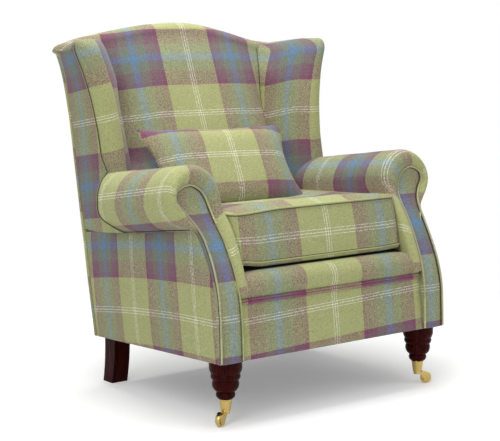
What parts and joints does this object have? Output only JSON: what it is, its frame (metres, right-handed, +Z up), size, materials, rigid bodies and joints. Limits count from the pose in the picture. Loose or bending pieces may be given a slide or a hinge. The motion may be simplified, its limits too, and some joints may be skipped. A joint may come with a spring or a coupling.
{
  "type": "fireside wing chair",
  "caption": "Upholstered fireside wing chair with rolled scroll arms, a loose boxed seat cushion, a small back cushion, turned front legs on castors and swept back legs.",
  "frame": {"origin": "on the floor, under the middle of the chair's overall box", "axes": "+Z up, +X to the right seen from the front, and the chair faces -Y"},
  "size_m": [0.904, 0.7725, 1.012],
  "materials": {
    "frame": "sawn beech",
    "webbing": "woven elastic strap",
    "dust_cover": "thin black cloth",
    "tartan": "woven wool check in green, olive and mauve",
    "piping": "self-covered cord",
    "leg_wood": "dark polished mahogany stain",
    "brass": "polished",
    "steel": "zinc plated"
  },
  "bodies": {
    "chair": {"front_rail": "frame", "back_rail": "frame", "back_tacking_rail": "frame", "crest_rail": "frame", "corner_blocks": "frame", "side_rail_left": "frame", "side_rail_right": "frame", "front_post_left": "frame", "front_post_right": "frame", "back_post_left": "frame", "back_post_right": "frame", "arm_rail_left": "frame", "arm_rail_right": "frame", "wing_rail_left": "frame", "wing_rail_right": "frame", "seat_webbing": "webbing", "back_webbing": "webbing", "dust_cover": "dust_cover", "seat_platform": "tartan", "inside_back": "tartan", "outside_back": "tartan", "front_lip": "tartan", "front_border": "tartan", "wing_left": "tartan", "wing_right": "tartan", "outside_wing_left": "tartan", "outside_wing_right": "tartan", "arm_roll_left": "tartan", "arm_roll_right": "tartan", "arm_facing_left": "tartan", "arm_facing_right": "tartan", "outside_arm_left": "tartan", "outside_arm_right": "tartan", "lip_piping": "piping", "wing_piping_left": "piping", "wing_piping_right": "piping", "facing_piping_left": "piping", "facing_piping_right": "piping", "front_leg_left": "leg_wood", "front_leg_right": "leg_wood", "back_leg_left": "leg_wood", "back_leg_right": "leg_wood", "castor_cup_left": "brass", "castor_cup_right": "brass", "castor_screws": "brass", "leg_bolts": "steel"},
    "seat_cushion": {"seat_cushion": "tartan", "seat_cushion_piping": "piping"},
    "lumbar_cushion": {"lumbar_cushion": "tartan"},
    "castor_horn_left": {"castor_horn_left": "brass", "castor_axle_left": "brass"},
    "castor_wheel_left": {"castor_wheel_left": "brass"},
    "castor_horn_right": {"castor_horn_right": "brass", "castor_axle_right": "brass"},
    "castor_wheel_right": {"castor_wheel_right": "brass"}
  },
  "joints": [
    {"name": "castor_swivel_left", "type": "hinge", "parent": "chair", "child": "castor_horn_left", "pos_m": [-0.338, -0.33258, 0.036], "axis": [0, 0, 1], "continuous": true},
    {"name": "castor_roll_left", "type": "hinge", "parent": "castor_horn_left", "child": "castor_wheel_left", "pos_m": [-0.36211, -0.34232, 0.0163], "axis": [0.3746, -0.9272, 0], "continuous": true},
    {"name": "castor_swivel_right", "type": "hinge", "parent": "chair", "child": "castor_horn_right", "pos_m": [0.338, -0.33258, 0.036], "axis": [0, 0, 1], "continuous": true},
    {"name": "castor_roll_right", "type": "hinge", "parent": "castor_horn_right", "child": "castor_wheel_right", "pos_m": [0.36211, -0.34232, 0.0163], "axis": [0.3746, 0.9272, 0], "continuous": true},
    {"name": "seat_cushion_lift", "type": "slide", "parent": "chair", "child": "seat_cushion", "axis": [0, 0, 1], "range_m": [0, 0.26]},
    {"name": "lumbar_cushion_lift", "type": "slide", "parent": "seat_cushion", "child": "lumbar_cushion", "axis": [0, 0, 1], "range_m": [0, 0.24]}
  ]
}
